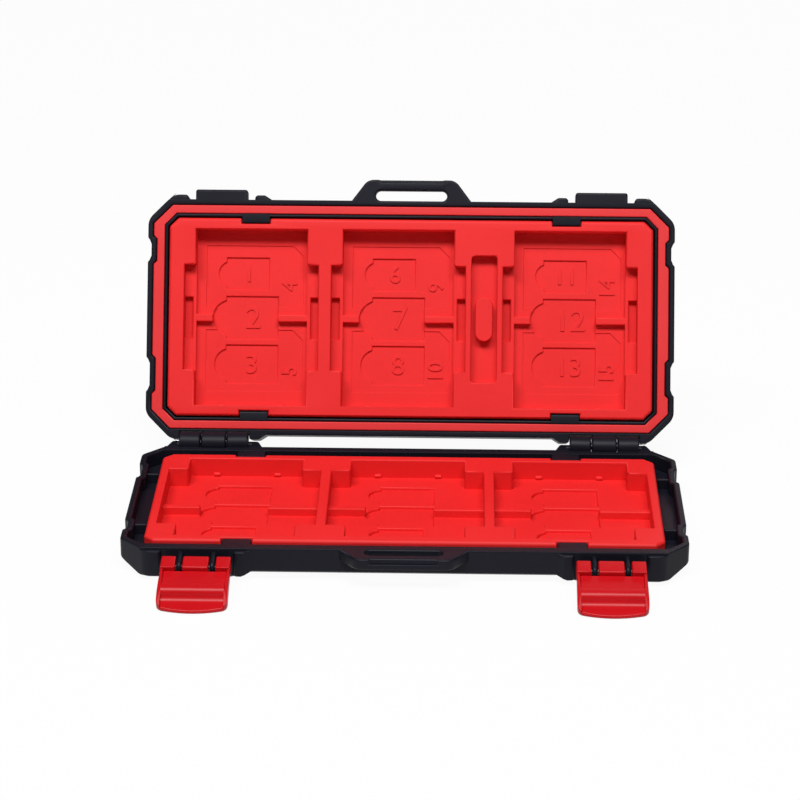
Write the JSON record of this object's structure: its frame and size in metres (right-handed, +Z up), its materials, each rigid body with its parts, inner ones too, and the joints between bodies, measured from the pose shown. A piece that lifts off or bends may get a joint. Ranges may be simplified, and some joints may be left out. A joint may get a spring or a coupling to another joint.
{
  "type": "memory card case",
  "caption": "Hinged hard case for memory cards, open, with moulded card trays in both halves, a rim seal, a carry loop and two swing latches.",
  "frame": {"origin": "centre of the base's flat bottom, between its walls", "axes": "+X to the right along the case, +Y to the rear, towards the hinges, +Z up"},
  "size_m": [0.154, 0.1345, 0.0797],
  "materials": {
    "shell_black": "fine moulded texture",
    "tray_red": "smooth satin",
    "seal_red": "soft matt",
    "latch_red": "semi-gloss",
    "pin_steel": "dark oiled"
  },
  "bodies": {
    "base": {"base_shell": "shell_black", "base_insert": "tray_red", "latch_pin_left": "pin_steel", "latch_pin_right": "pin_steel", "hinge_pin_left": "pin_steel", "hinge_pin_right": "pin_steel"},
    "lid": {"lid_shell": "shell_black", "lid_insert": "tray_red", "lid_seal": "seal_red"},
    "latch_left": {"latch_left": "latch_red"},
    "latch_right": {"latch_right": "latch_red"}
  },
  "joints": [
    {"name": "lid_hinge", "type": "hinge", "parent": "base", "child": "lid", "pos_m": [0, 0.0368, 0.0096], "axis": [1, 0, 0], "range_deg": [0, 115.1]},
    {"name": "latch_left_pivot", "type": "hinge", "parent": "base", "child": "latch_left", "pos_m": [-0.05555, -0.03862, 0.00568], "axis": [-1, 0, 0], "range_deg": [0, 102.8]},
    {"name": "latch_right_pivot", "type": "hinge", "parent": "base", "child": "latch_right", "pos_m": [0.05555, -0.03862, 0.00568], "axis": [-1, 0, 0], "range_deg": [0, 102.8]}
  ]
}
